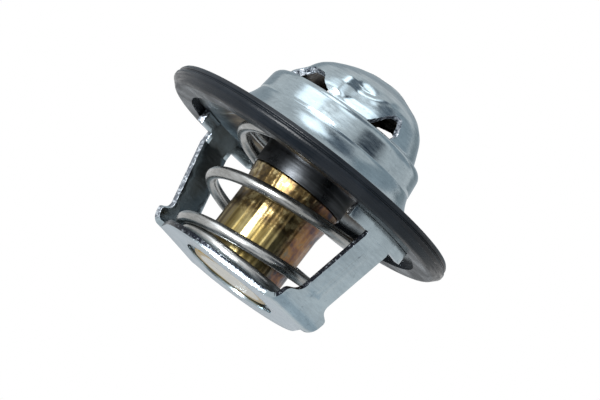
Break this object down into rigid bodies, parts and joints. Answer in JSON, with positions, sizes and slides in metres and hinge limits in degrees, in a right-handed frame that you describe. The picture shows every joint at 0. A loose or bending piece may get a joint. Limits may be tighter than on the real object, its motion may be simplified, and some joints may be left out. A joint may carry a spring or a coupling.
{
  "type": "engine thermostat",
  "caption": "Wax-pellet coolant valve: domed flange with flow windows and rubber rim seal, coil spring and stirrup carrying a brass element.",
  "frame": {"origin": "centre of the underside of the stirrup's base, on the valve axis", "axes": "+Z along the valve axis from the stirrup's base to the dome's crown; the stirrup's two legs stand on the X axis"},
  "size_m": [0.054, 0.054, 0.0406],
  "materials": {
    "stamped_steel": "bright plated sheet with soft stains",
    "black_rubber": "matt moulded rubber",
    "spring_steel": "bright drawn wire",
    "brass": "polished and slightly tarnished",
    "ground_steel": "ground",
    "wax": "dull, copper-filled wax",
    "washer_polymer": "smooth"
  },
  "bodies": {
    "frame": {"flange_dome": "stamped_steel", "flange_seal": "black_rubber", "stirrup": "stamped_steel", "main_spring": "spring_steel", "piston": "ground_steel"},
    "valve": {"valve_disc": "stamped_steel", "valve_gasket": "black_rubber", "wax_case": "brass", "wax_charge": "wax", "piston_boot": "black_rubber", "chafe_washer": "washer_polymer", "piston_guide": "brass", "guide_wiper": "black_rubber"}
  },
  "joints": [
    {"name": "valve_lift", "type": "slide", "parent": "frame", "child": "valve", "axis": [0, 0, -1], "range_m": [0, 0.008], "stiffness_N_per_m": 5700, "deforming": ["main_spring"]}
  ]
}
